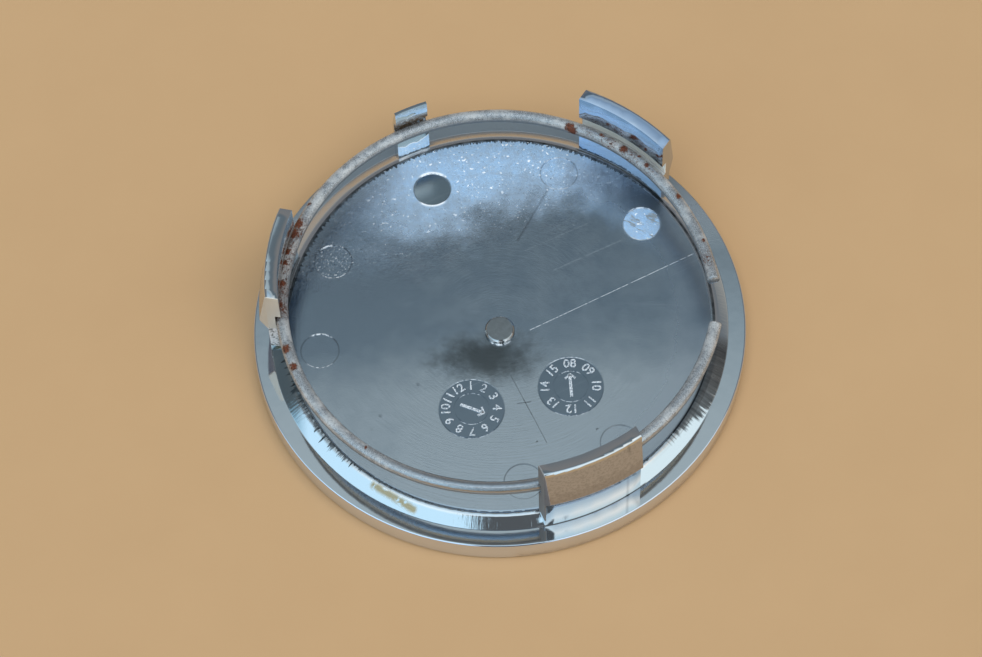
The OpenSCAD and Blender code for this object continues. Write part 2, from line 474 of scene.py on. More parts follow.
# %% [markdown]
# ## Plating: scratches and weld lines
#
# Handling has left a few long pale scratches. The dark lines are weld lines, where
# two streams of plastic met in the mould. Each line has its two ends, its width and
# its strength, and noise breaks it up, because a real scratch skips.

# %% Scratches and weld lines
PALE_SCRATCHES = [
    ((4.3, -1.8), (28.1, 9.6), 0.10, 1.0),
    ((8.0, 7.8), (18.5, 12.6), 0.08, 0.45),
    ((4.0, 11.2), (13.3, 15.4), 0.07, 0.35),
    ((17.0, 2.0), (26.0, 1.2), 0.06, 0.25),
]
WELD_LINES = [
    ((3.1, 13.0), (7.8, 21.4), 0.30, 0.5),
    ((1.3, -9.0), (3.0, -13.0), 0.13, 0.55),
    ((3.0, -13.0), (4.0, -15.3), 0.13, 0.8),
    ((4.0, -15.3), (5.9, -19.8), 0.12, 0.6),
    ((2.1, -13.5), (3.9, -13.3), 0.16, 0.7),
]


def weighted_lines(tree, place, lines):
    return total(tree, *(
        product(tree, line_mark(tree, place, start, end, width), strength)
        for start, end, width, strength in lines
    ))


def scratch_marks(tree, cap, zone, mark):
    place, x, y = cap["Place"], zone["x"], zone["y"]
    worn = grain(tree, place, 2.6, 3)
    pale = product(tree, weighted_lines(tree, place, PALE_SCRATCHES), rise(tree, worn, 0.3, 0.55))
    weld = product(tree, weighted_lines(tree, place, WELD_LINES), rise(tree, worn, 0.2, 0.5))
    hair_place = point(tree, total(tree, x, product(tree, y, -2.1)), product(tree, y, 0.02))
    hair = product(tree, rise(tree, grain(tree, hair_place, 3.0, 1), 0.73, 0.78), 0.3)
    slanted = point(tree, product(tree, total(tree, x, y), 0.8), minus(tree, y, x))
    scuffs = rise(tree, grain(tree, slanted, 2.6, 4, 0.75, 0.4), 0.54, 0.66)
    scuffed = circle_mark(tree, place, SCUFFED_PIN, PIN_R + 0.3, 0.6)["Disc"]
    mark["weld"] = product(tree, weld, zone["floor"])
    mark["scratched"] = product(tree, total(tree, pale, hair, product(tree, scuffed, scuffs)), zone["floor"])


# %% [markdown]
# ## Plating: edges of the prints
#
# The edge of a round print is a tiny step. It is dark all round, and it glints where
# it faces the light, in patches where the plating is still bright.

# %% Edges of the prints


def print_marks(tree, cap, zone, mark):
    place = cap["Place"]
    patchy = rise(tree, grain(tree, place, 1.6, 4, 0.7), 0.38, 0.6)
    pins = [(circle_mark(tree, place, centre, PIN_R, 0.17), glint) for centre, glint in PINS]
    pin_glints = total(tree, *(product(tree, pin["Glint"], glint) for pin, glint in pins))
    dial_glints = total(tree, *(
        circle_mark(tree, place, centre, radius, 0.12)["Glint"]
        for radius in (DIAL_R, DIAL_DISC_R) for centre in DIALS
    ))
    gate = circle_mark(tree, place, GATE, GATE_R, 0.25)
    glints = total(
        tree, product(tree, pin_glints, 1.5), product(tree, dial_glints, 1.2),
        product(tree, gate["Glint"], 1.6),
    )
    rim_of_clear = circle_mark(tree, place, CLEAR_PIN, PIN_R + 0.1, 0.3)["Glint"]
    gate_top = rise(tree, cap["Height"], FLOOR_Z + 0.6, FLOOR_Z + 0.8)
    above_floor = rise(tree, cap["Height"], FLOOR_Z + 0.05, FLOOR_Z + 0.2)
    mark["outline"] = product(tree, total(tree, *(pin["Ring"] for pin, glint in pins)), zone["floor"])
    mark["gate_top"] = product(tree, gate["Disc"], gate_top)
    mark["gate_side"] = product(tree, gate["Disc"], above_floor, inverse(tree, mark["gate_top"]))
    # The glints along the edges of the prints are painted highlights, set white over the plating.
    mark["pale"] = total(
        tree, mark["scratched"], product(tree, glints, patchy), product(tree, rim_of_clear, 1.2),
    )


# %% [markdown]
# ## Plating: dark fringe at the shoulder
#
# A dark fringe is painted where the floor turns down into the slope. It has short teeth
# towards the middle at the far side, hairs that run down the slope at the left, and a
# clean line at the right, which ends in a torn hatch, a painted reflection of something
# dark. It fades where the slope lies in the dark anyway.

# %% Fringe at the shoulder


def fringe_marks(tree, cap, zone, mark):
    place, radius, x, y = cap["Place"], cap["Radius"], zone["x"], zone["y"]
    around = calc(tree, "MULTIPLY", cap["Angle"], FLOOR_EDGE_R)
    teeth = grain(tree, point(tree, product(tree, around, 2.3), product(tree, radius, 0.2)), 1.0, 3, 0.6)
    faded = spread(tree, grain(tree, place, 1.1, 3), 0.35, 1.25)
    crisp = rise(tree, x, 17.0, 25.0)
    far_side = rise(tree, y, -4.0, 12.0)
    left_side = product(tree, rise(tree, x, -18.0, -25.0), inverse(tree, far_side))
    hairs = product(
        tree, rise(tree, teeth, 0.42, 0.72), spread(tree, left_side, 0.3, 1.4), inverse(tree, crisp),
        inverse(tree, far_side),
    )
    inward = product(tree, far_side, inverse(tree, crisp), spread(tree, teeth, -0.5, 1.3))
    clean_line = product(tree, crisp, rise(tree, y, -3.0, -1.0), 0.3)
    inner_edge = minus(tree, FLOOR_EDGE_R + 0.16, inward)
    outer_edge = total(tree, FLOOR_EDGE_R + 0.28, hairs, clean_line)
    # Painted dark fringe along the shoulder.
    fringe = product(
        tree, rise(tree, minus(tree, radius, inner_edge), -0.05, 0.12),
        rise(tree, minus(tree, radius, outer_edge), 0.12, -0.05),
        rise(tree, cap["Height"], FLOOR_Z + 0.3, FLOOR_Z + 0.2),
        rise(tree, radius, FLOOR_EDGE_R - 2.0, FLOOR_EDGE_R - 1.4),
    )
    in_dark = product(
        tree, rise(tree, apart(tree, x, 0.5), 8.0, 4.5),
        rise(tree, y, 0.0, -5.0),
    )
    torn_end = total(
        tree, y, product(tree, teeth, 14.0),
        product(tree, minus(tree, FLOOR_EDGE_R + 1.2, radius), 3.0),
    )
    # Painted reflection: a dark torn hatch on the slope at the right.
    hatch = product(
        tree, zone["slope"], rise(tree, x, 22.0, 24.0), rise(tree, torn_end, -12.0, -9.0),
        rise(tree, y, -3.0, -5.5), spread(tree, teeth, 0.5, 1.2),
    )
    fringe = product(tree, fringe, inverse(tree, in_dark), faded)
    mark["fringe"] = total(tree, fringe, product(tree, hatch, 0.9))


# %% [markdown]
# ## Plating: painted shade in the corners
#
# Shade is painted dark along the foot of each clip, outside on the land and inside on
# the floor. A cosine of three times the angle picks out the three clips at once.

# %% Painted shade in the corners


def corner_marks(tree, cap, mark):
    radius, height = cap["Radius"], cap["Height"]
    from_clip = minus(tree, cap["Angle"], math.radians(FAR_CLIP))
    turn = product(tree, from_clip, float(len(CLIP_DIRECTIONS)))
    by_clip = rise(tree, calc(tree, "COSINE", turn), 0.70, 0.74)
    outside = product(
        tree, rise(tree, apart(tree, radius, LAND_R), 0.18, 0.02),
        rise(tree, height, 4.0, 3.8),
    )
    inside = product(
        tree, rise(tree, apart(tree, radius, CLIP_IN_R), 0.35, 0.05),
        rise(tree, height, FLOOR_Z + 0.3, FLOOR_Z),
    )
    # Painted shade along the foot of each clip.
    mark["corner"] = product(tree, total(tree, outside, inside), by_clip)


# %% [markdown]
# ## Plating: relief
#
# All heights are in millimetres and go into one Bump node: fine grain and turning
# marks on the satin floor, pits near the far rim, and flutes that run down the slope.
# The relief is worked out three times for each point, so the marks stay out of it.

# %% Relief of the plating


def plating_relief(tree, cap, zone):
    place, radius, angle = cap["Place"], cap["Radius"], cap["Angle"]
    around = calc(tree, "MULTIPLY", angle, FLOOR_EDGE_R)
    fine = grain(tree, place, 7.0, 3, 0.6)
    pits = rise(tree, grain(tree, place, 2.3, 5, 0.75), 0.44, 0.66)
    turning = grain(tree, point(tree, product(tree, radius, 3.4), product(tree, angle, 4.0)), 1.0, 2)
    flutes = grain(tree, point(tree, product(tree, around, 3.4), product(tree, radius, 0.4)), 1.0, 3, 0.6)
    return total(
        tree,
        product(tree, zone["satin"], spread(tree, fine, 0.0, 0.010)),
        product(tree, zone["satin"], spread(tree, turning, 0.0, 0.006)),
        product(tree, zone["milky"], spread(tree, fine, 0.0, 0.07)),
        product(tree, zone["pitted"], product(tree, pits, -0.012)),
        product(tree, zone["dull_land"], spread(tree, fine, 0.0, 0.08)),
        product(tree, zone["slope"], spread(tree, flutes, 0.0, 0.014)),
        spread(tree, grain(tree, place, 0.3, 2), 0.0, 0.006),
    )


# %% [markdown]
# ## Plating: colour of each zone
#
# Bright plating is a little blue, and each face takes a tint from its wear and from
# what it has lain against. The far clip and the slope at the left are painted darker
# as painted shade, and the milky patch is painted sky blue, a painted reflection of the
# sky. The colour is built up as in painting, one thin layer over another, and each
# layer has a mask that says where it lies. The floor is tarnished towards the middle
# and the left, and the milky patch covers what lies under it.

# %% Colour of the zones
MIRROR = (0.70, 0.735, 0.76)
TARNISHED = (0.36, 0.42, 0.48)
DIAL_GREY = (0.20, 0.25, 0.30)
BARB_TINT = (0.54, 0.61, 0.78)
BARB_FOOT_TINT = (0.40, 0.44, 0.56)
BARB_GRAIN = (0.28, 0.30, 0.36)
FAR_CLIP_SHADE = (0.46, 0.54, 0.68)
FLANGE_TINT = (0.74, 0.82, 1.0)
SLOPE_PAINTED_SHADE = (0.26, 0.36, 0.40)
FAR_SLOPE = (0.66, 0.68, 0.72)
CLEAR_PIN_GREY = (0.34, 0.41, 0.45)
DULL_LAND = (0.30, 0.34, 0.37)
MILK_AND_SKY_BLUE = (0.50, 0.73, 1.0)


def cover(tree, colour, over, *factors):
    """The colour, with another one over it where the product of the factors is 1."""
    return blend(tree, product(tree, *factors), colour, over)


def floor_tarnish(tree, cap, zone):
    cloud = grain(tree, cap["Place"], 0.22, 5, 0.6)
    tarnish = total(
        tree, rise(tree, zone["y"], -14.0, 0.0), product(tree, rise(tree, zone["x"], -6.0, -24.0), 0.3),
        spread(tree, cloud, -0.5, 0.3),
    )
    return product(tree, tarnish, zone["satin"], inverse(tree, zone["milky"]))


def milk_cover(tree, zone, soft):
    x, y = zone["x"], zone["y"]
    torn_place = point(tree, total(tree, product(tree, x, 0.5), y), calc(tree, "MULTIPLY", x, 0.25))
    torn = product(tree, zone["milky_pin"], rise(tree, grain(tree, torn_place, 1.5, 3, 0.6), 0.56, 0.62))
    milk = product(tree, zone["milky"], spread(tree, soft["mottle"], 0.35, 1.45), inverse(tree, torn))
    return calc(tree, "MINIMUM", milk, 1.0)


def zone_colours(tree, cap, zone, soft, milk):
    x, y, barb, slope = zone["x"], zone["y"], zone["outer_face"], zone["slope"]
    colour = cover(tree, MIRROR, TARNISHED, floor_tarnish(tree, cap, zone))
    colour = cover(tree, colour, DIAL_GREY, zone["dials"], 0.9)
    lower = rise(tree, total(tree, cap["Height"], spread(tree, soft["mottle"], -4.0, 4.0)), 15.5, 12.5)
    colour = cover(tree, colour, BARB_TINT, barb)
    colour = cover(tree, colour, BARB_FOOT_TINT, barb, lower, 0.7)
    colour = cover(tree, colour, BARB_GRAIN, barb, rise(tree, soft["speck"], 0.56, 0.36), 0.4)
    # Painted shade: the far clip is painted a darker blue than the others.
    colour = cover(tree, colour, FAR_CLIP_SHADE, zone["far_clip"], 0.8)
    colour = cover(tree, colour, FLANGE_TINT, zone["flange_side"])
    # Painted shade: the slope at the left is painted darker.
    left_edge = rise(tree, x, -27.0, -29.5)
    colour = cover(tree, colour, SLOPE_PAINTED_SHADE, slope, left_edge, rise(tree, y, 3.0, 0.0), 0.85)
    far_side = rise(tree, y, 0.0, 12.0)
    colour = cover(tree, colour, FAR_SLOPE, slope, far_side, spread(tree, soft["mottle"], 0.4, 1.0))
    colour = cover(tree, colour, CLEAR_PIN_GREY, zone["clear_pin"], 0.9)
    colour = cover(tree, colour, DULL_LAND, zone["dull_land"])
    # The milky patch is painted sky blue, a painted reflection of the sky it scatters.
    return cover(tree, colour, MILK_AND_SKY_BLUE, milk)


# %% [markdown]
# ## Plating: stains, grime and painted light
#
# A dark stain spreads from the gate, where the plastic came in, and a brown painted
# reflection lies on the near slope. Grime fills the weld lines and the grooves, the same
# dark colour paints the fringe and paints shade into the corners, and the groove of the
# far clip is painted pale cream, a painted reflection of the lit wire.

# %% Stains, grime and painted light
GRIME_AND_SHADE = (0.035, 0.04, 0.045)
GATE_STAIN = (0.12, 0.13, 0.13)
GATE_TOP_GREY = (0.30, 0.29, 0.28)
GATE_SIDE_GREY = (0.12, 0.13, 0.14)
SLOPE_BROWN_REFLECTION = (0.36, 0.31, 0.19)
GROOVE_DIRT = (0.13, 0.085, 0.05)
GROOVE_REFLECTION_CREAM = (0.95, 0.92, 0.83)
STAIN_CENTRE = (-1.8, -6.0)
SLOPE_REFLECTION_LINE = ((-18.3, -25.2), (-12.9, -29.0))
DARK_SPOTS = [(-11.8, -9.9), (-17.2, -14.6), (16.8, -27.9)]


def gate_stain(tree, cap, zone):
    blot = grain(tree, cap["Place"], 0.5, 4, 0.6)
    across = product(tree, minus(tree, zone["x"], STAIN_CENTRE[0]), 0.15)
    along = product(tree, minus(tree, zone["y"], STAIN_CENTRE[1]), 0.28)
    away = vector_math(tree, "LENGTH", point(tree, across, along), (0, 0, 0))["Value"]
    return rise(tree, total(tree, away, spread(tree, blot, -0.7, 0.7)), 1.55, 0.2)


def grime_cover(tree, cap, zone, mark, soft):
    place = cap["Place"]
    dots = product(tree, rise(tree, grain(tree, place, 0.8, 3, 0.4), 0.76, 0.80), zone["satin"])
    dots = total(tree, dots, *(circle_mark(tree, place, spot, 0.1, 0.35)["Disc"] for spot in DARK_SPOTS))
    specks = product(tree, zone["pitted"], rise(tree, soft["speck"], 0.38, 0.28))
    # Weld lines, print outlines and dark spots are grime; the fringe is painted dark, and the corners take
    # painted shade.
    return total(
        tree, product(tree, mark["weld"], 0.7), product(tree, mark["outline"], 0.35), mark["fringe"],
        product(tree, mark["corner"], 0.85), product(tree, dots, 0.5), product(tree, specks, 0.6),
    )


def groove_dirt(tree, cap, zone, soft):
    height = cap["Height"]
    above = product(
        tree, zone["inner_face"], rise(tree, height, GROOVE_HIGH_Z + 1.5, GROOVE_HIGH_Z + 0.1),
        rise(tree, height, GROOVE_HIGH_Z - 0.3, GROOVE_HIGH_Z),
    )
    soiled_side = rise(tree, zone["x"], 6.0, -4.0)
    patchy = rise(tree, soft["mottle"], 0.3, 0.55)
    return product(tree, soiled_side, total(tree, zone["groove"], above), patchy)


def soiled(tree, cap, zone, mark, soft, colour):
    """The colour under stains, grime and painted light, and the masks that dull the plating."""
    x, y, mottle = zone["x"], zone["y"], soft["mottle"]
    dirt_and_painted_reflections = {}
    colour = cover(tree, colour, GATE_STAIN, gate_stain(tree, cap, zone), zone["satin"], 0.9)
    colour = cover(tree, colour, GATE_TOP_GREY, mark["gate_top"], spread(tree, mottle, 0.6, 1.0))
    colour = cover(tree, colour, GATE_SIDE_GREY, mark["gate_side"], spread(tree, soft["speck"], 0.5, 1.4))
    # Painted reflection: a brown patch on the near slope, where it mirrors something brown.
    dirt_and_painted_reflections["slope"] = product(
        tree, line_mark(tree, cap["Place"], *SLOPE_REFLECTION_LINE, 0.75), rise(tree, mottle, 0.3, 0.5), zone["slope"],
    )
    colour = cover(tree, colour, SLOPE_BROWN_REFLECTION, dirt_and_painted_reflections["slope"], 1.2)
    colour = cover(tree, colour, GRIME_AND_SHADE, grime_cover(tree, cap, zone, mark, soft))
    dirt_and_painted_reflections["groove"] = groove_dirt(tree, cap, zone, soft)
    colour = cover(tree, colour, GROOVE_DIRT, dirt_and_painted_reflections["groove"])
    # Painted reflection: the far clip's groove is painted pale cream, where it mirrors the lit wire.
    dirt_and_painted_reflections["grease"] = product(tree, zone["groove"], rise(tree, x, 5.0, 9.0), rise(tree, y, 0.0, 4.0))
    return cover(tree, colour, GROOVE_REFLECTION_CREAM, dirt_and_painted_reflections["grease"]), dirt_and_painted_reflections


# %% [markdown]
# ## Plating: wear, white specks and painted highlights
#
# One end of the left clip has lost its plating, so the pale plastic shows, and the end
# of the near clip is painted dark. The tab's inner face has white ribs. Pits show as
# white specks, painted highlights where their worn edges scatter the light, and white
# sparkles in the milky patch are painted highlights too.

# %% Wear, specks and painted highlights
WHITE = (0.93, 0.96, 1.0)
BARE_PLASTIC = (0.64, 0.62, 0.565)
BARE_FOOT_DARK = (0.10, 0.10, 0.09)
BARE_FOOT_PALE = (0.80, 0.80, 0.82)
NEAR_END_DARK = (0.10, 0.09, 0.085)


def worn(tree, cap, zone, soft, colour):
    height = cap["Height"]
    ribbed = grain(tree, point(tree, product(tree, zone["x"], 4.0), product(tree, height, 0.5)), 1.0, 2)
    tab_face = product(
        tree, zone["inner_face"], rise(tree, zone["x"], 0.0, -3.0), rise(tree, zone["y"], 20.0, 24.0),
        rise(tree, height, 9.0, 7.5),
    )
    colour = cover(tree, colour, WHITE, tab_face, spread(tree, ribbed, 0.1, 1.2))
    bare = blend(tree, rise(tree, soft["speck"], 0.36, 0.52), BARE_FOOT_DARK, BARE_FOOT_PALE)
    bare = blend(tree, rise(tree, height, BARB_FOOT_Z, BARB_FOOT_Z + 0.4), bare, BARE_PLASTIC)
    colour = cover(tree, colour, bare, zone["worn_end"])
    # The end of the near clip is painted dark.
    return cover(tree, colour, NEAR_END_DARK, zone["dark_end"], 0.85)


def white_cover(tree, cap, zone, mark, soft):
    # Painted highlights: white specks in the pits, sparkles in the milky patch and the glints of the prints.
    in_pits = calc(tree, "MAXIMUM", product(tree, zone["pitted"], 0.6), zone["milky"])
    broken = total(tree, soft["speck"], spread(tree, soft["mottle"], -0.14, 0.14))
    specks = product(tree, in_pits, rise(tree, broken, 0.63, 0.73))
    sparkles = product(tree, zone["milky"], rise(tree, grain(tree, cap["Place"], 2.3, 0), 0.75, 0.80))
    white = calc(tree, "MAXIMUM", calc(tree, "MAXIMUM", specks, sparkles), product(tree, mark["pale"], 0.75))
    return calc(tree, "MINIMUM", white, 1.0)


# %% [markdown]
# ## Plating: one material
#
# Where the plating is whole it is a metal mirror. White specks, painted glints, grime,
# bare plastic, painted shade and painted reflections are not metal, so each takes some
# of the metal away, and each has its own roughness: a polished clip blurs little, the
# milky patch a lot.

# %% Plating


def plating_metal(tree, zone, mark, milk, dirt_and_painted_reflections, white):
    metal = total(
        tree, 1.0, product(tree, white, -0.6), product(tree, dirt_and_painted_reflections["groove"], -1.0),
        product(tree, dirt_and_painted_reflections["slope"], -0.8), product(tree, milk, -0.45), product(tree, dirt_and_painted_reflections["grease"], -1.0),
        product(tree, mark["corner"], -0.5), product(tree, zone["dull_land"], -0.25),
        product(tree, zone["worn_end"], -0.6), product(tree, zone["dark_end"], -1.0),
    )
    return calc(tree, "MAXIMUM", metal, 0.0, clamp=True)


def plating_roughness(tree, cap, zone, mark, dirt_and_painted_reflections):
    smudge = grain(tree, cap["Place"], 0.4, 4, 0.6)
    right_edge = product(tree, rise(tree, cap["Radius"], 21.0, 27.0), rise(tree, zone["x"], 6.0, 16.0))
    rough = total(
        tree, spread(tree, smudge, 0.03, 0.10),
        product(tree, zone["satin"], 0.08),
        product(tree, zone["milky"], 0.25),
        product(tree, zone["clear_pin"], 0.12),
        product(tree, zone["satin"], right_edge, 0.16),
        product(tree, zone["dull_land"], 0.30),
        product(tree, zone["slope"], rise(tree, zone["y"], 0.0, 12.0), 0.16),
        product(tree, zone["outer_face"], 0.06),
        product(tree, dirt_and_painted_reflections["groove"], 0.6),
        product(tree, zone["worn_end"], 0.35),
        product(tree, zone["dark_end"], 0.5),
        product(tree, mark["fringe"], 0.3),
    )
    return calc(tree, "MINIMUM", rough, 0.9)


def plating():
    material, tree, shader = start_material("plating")
    cap = cap_place(tree)
    zone = solid_zones(tree, cap)
    clip_zones(tree, cap, zone)
    floor_zones(tree, cap, zone)
    mark = {}
    scratch_marks(tree, cap, zone, mark)
    print_marks(tree, cap, zone, mark)
    fringe_marks(tree, cap, zone, mark)
    corner_marks(tree, cap, mark)
    relief = plating_relief(tree, cap, zone)
    fill(tree, shader, {"Normal": relief_normal(tree, relief)})
    soft = {
        "mottle": grain(tree, cap["Place"], 1.3, 4, 0.6),
        "speck": grain(tree, cap["Place"], 3.0, 3, 0.6),
    }
    milk = milk_cover(tree, zone, soft)
    colour = zone_colours(tree, cap, zone, soft, milk)
    colour, dirt_and_painted_reflections = soiled(tree, cap, zone, mark, soft, colour)
    colour = worn(tree, cap, zone, soft, colour)
    white = white_cover(tree, cap, zone, mark, soft)
    fill(tree, shader, {
        "Base Color": cover(tree, colour, WHITE, white),
        "Metallic": plating_metal(tree, zone, mark, milk, dirt_and_painted_reflections, white),
        "Roughness": plating_roughness(tree, cap, zone, mark, dirt_and_painted_reflections),
    })
    print("plating nodes:", len(tree.nodes))
    return material


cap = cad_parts["cap"]
finish_piece(cap, plating())

# %% [markdown]
# ## Rounded edges on the cap
#
# A moulded edge is never sharp, and on bright plating each rounded edge shows as a
# thin line of light. The solid's own triangles are welded, then bevelled where two
# faces meet at an angle. The weld and the bevel are modifiers, so the solid itself
# stays as it is.

# %% Edges of the cap
EDGE_ROUNDING = 0.13 * MM


def round_edges(piece):
    weld = piece.modifiers.new("weld", "WELD")
    weld.merge_threshold = 0.002 * MM
    bevel = piece.modifiers.new("rounding", "BEVEL")
    bevel.width = EDGE_ROUNDING
    bevel.segments = 2
    bevel.limit_method = "ANGLE"
    bevel.angle_limit = math.radians(40)
    bevel.harden_normals = True


round_edges(cap)
print("modifiers on the cap:", [modifier.name for modifier in cap.modifiers])

# %% [markdown]
# ## Retaining ring
#
# The ring is a length of spring wire, bent round and cut square. It has sprung open,
# so each end runs a little outwards. A circle is spun along three bends that follow
# on from each other smoothly, the long one first and then both ends, and its surface
# is pushed in and out to give the crust of old zinc.
# Rust is kept as a value on each point, because it sits at certain places along
# the wire, mostly where the clips hold the wet.

# %% Ring wire
WIRE_R = 0.9 * MM
RING_R = 30 * MM
RING_Z = 11.8
RING_CENTRE = Vector((-0.4 * MM, 0, RING_Z * MM))
# Direction from the axis where both bends start, to run round opposite ways
RING_START = 150
# Each end: direction in which its bend begins, how much wider it is, how far it turns
END_BENDS = [(280, 1.6 * MM, 66.4), (34, 5.0 * MM, -27.4)]
WIRE_SIDES = 24
STEP_ANGLE = 0.4
CRUST_HEIGHT = 0.022 * MM
# Each spot: direction from the axis, side of the wire (0 outwards, 90 up), size in mm, strength
RUST_SPOTS = [
    (155.6, 55, 1.2, 1), (158.8, 60, 1.3, 1), (164.6, 65, 0.8, 1), (168, 80, 0.6, 1), (174.5, 90, 0.8, 1),
    (181, 80, 0.6, 1), (194.1, 65, 0.9, 1), (199.8, 75, 0.8, 1), (67.5, 130, 1.0, 1), (66.5, 160, 0.9, 1),
    (50.8, 95, 0.8, 1), (58.4, 80, 0.4, 1), (42.5, 90, 0.5, 1), (46, 60, 0.4, 1), (29.4, 70, 0.6, 1),
    (149, 60, 0.4, 1), (231, 100, 0.3, 1), (14, 60, 0.4, 1),
    (157, 80, 3.2, 0.3), (163, 80, 3.0, 0.25), (169, 80, 3.0, 0.25), (176, 80, 3.2, 0.3),
    (182, 80, 3.2, 0.3), (62, 80, 2.6, 0.15), (55, 80, 2.6, 0.2), (48, 80, 2.6, 0.2),
    (41, 80, 2.6, 0.15), (8, 80, 2.5, 0.2),
]


def spin_bend(mesh, loop, centre, degrees):
    steps = max(2, round(abs(degrees) / STEP_ANGLE))
    result = bmesh.ops.spin(
        mesh, geom=loop, cent=centre, axis=(0, 0, 1), dvec=(0, 0, 0),
        angle=math.radians(degrees), steps=steps, use_merge=False, use_normal_flip=False,
        use_duplicate=False,
    )
    return result["geom_last"]


def bend_centre(join_degrees, extra):
    """Centre of an end bend that is wider by extra and leaves the main bend smoothly."""
    return RING_CENTRE - extra * Vector((*polar(1, join_degrees), 0))


def wire_middle(degrees):
    """Point on the wire's centreline, seen from the axis in this direction."""
    way = Vector((*polar(1, degrees), 0))
    along = way.dot(RING_CENTRE)
    reach = along + math.sqrt(along ** 2 + RING_R ** 2 - RING_CENTRE.xy.length_squared)
    return way, way * reach + Vector((0, 0, RING_CENTRE.z))


def rust_at(place):
    amount = 0.0
    for degrees, side, size, strength in RUST_SPOTS:
        way, middle = wire_middle(degrees)
        tilt = math.radians(side)
        spot = middle + WIRE_R * (way * math.cos(tilt) + Vector((0, 0, math.sin(tilt))))
        amount = max(amount, strength * (1.0 - (place - spot).length / (size * MM)))
    return amount


def ring_wire():
    mesh = bmesh.new()
    out = Vector((*polar(1, RING_START), 0))
    turn = Matrix((out, Vector((0, 0, 1)), out.cross(Vector((0, 0, 1))))).transposed().to_4x4()
    section = Matrix.Translation(RING_CENTRE + out * RING_R) @ turn
    bmesh.ops.create_circle(mesh, segments=WIRE_SIDES, radius=WIRE_R, matrix=section)
    start = mesh.edges[:] + mesh.verts[:]
    ends = []
    for begin, wider, degrees in END_BENDS:
        bend = spin_bend(mesh, start, RING_CENTRE, begin - RING_START)
        ends.append(spin_bend(mesh, bend, bend_centre(begin, wider), degrees))
    for end in ends:
        edges = [item for item in end if isinstance(item, bmesh.types.BMEdge)]
        bmesh.ops.contextual_create(mesh, geom=edges)
    bmesh.ops.remove_doubles(mesh, verts=mesh.verts, dist=0.001 * MM)
    bmesh.ops.recalc_face_normals(mesh, faces=mesh.faces)
    rust = mesh.verts.layers.float.new("rust")
    for vert in mesh.verts:
        vert[rust] = rust_at(vert.co)
        crust = noise.fractal(vert.co / MM * 2.2, 0.7, 2.0, 4)
        vert.co += vert.normal * crust * CRUST_HEIGHT
    piece = add_piece("retaining_ring_wire", mesh)
    piece.data.shade_smooth()
    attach(piece, "root")
    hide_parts("retaining_ring")
    return piece


# %% [markdown]
# ## Zinc on the wire
#
# Old zinc is grey and mottled, with chalky bloom where it stayed wet, and small dark
# pits. The near side is rubbed bright. Low on the wire runs a thin line of painted
# shade, and below it the zinc is pale blue, with the light that the plating throws up.
# The edge of a rust spot is ragged, because noise is added to the value that the
# points carry, and a brown tinge lies around each spot.

# %% Zinc wire
ZINC_DARK, ZINC_PALE = (0.27, 0.29, 0.31), (0.47, 0.49, 0.51)
ZINC_RUBBED = (0.52, 0.55, 0.58)
ZINC_CHALK = (0.58, 0.58, 0.57)
ZINC_BENEATH = (0.46, 0.62, 0.82)
LOW_SHADE_LINE = (0.12, 0.135, 0.15)
PIT_BLACK = (0.07, 0.065, 0.06)
RUST_TINGE = (0.32, 0.17, 0.09)
RUST_DARK, RUST_RED = (0.025, 0.008, 0.005), (0.17, 0.045, 0.016)


def rust_masks(tree, place):
    rust = add_node(tree, "ShaderNodeAttribute", attribute_name="rust").outputs["Fac"]
    ragged = spread(tree, grain(tree, place, 3.4, 5, 0.75), -1.3, 1.3)
    rusty = product(tree, rise(tree, total(tree, rust, ragged), 0.22, 0.42), rise(tree, rust, 0.0, 0.12))
    return rusty, rise(tree, rust, 0.0, 0.5)


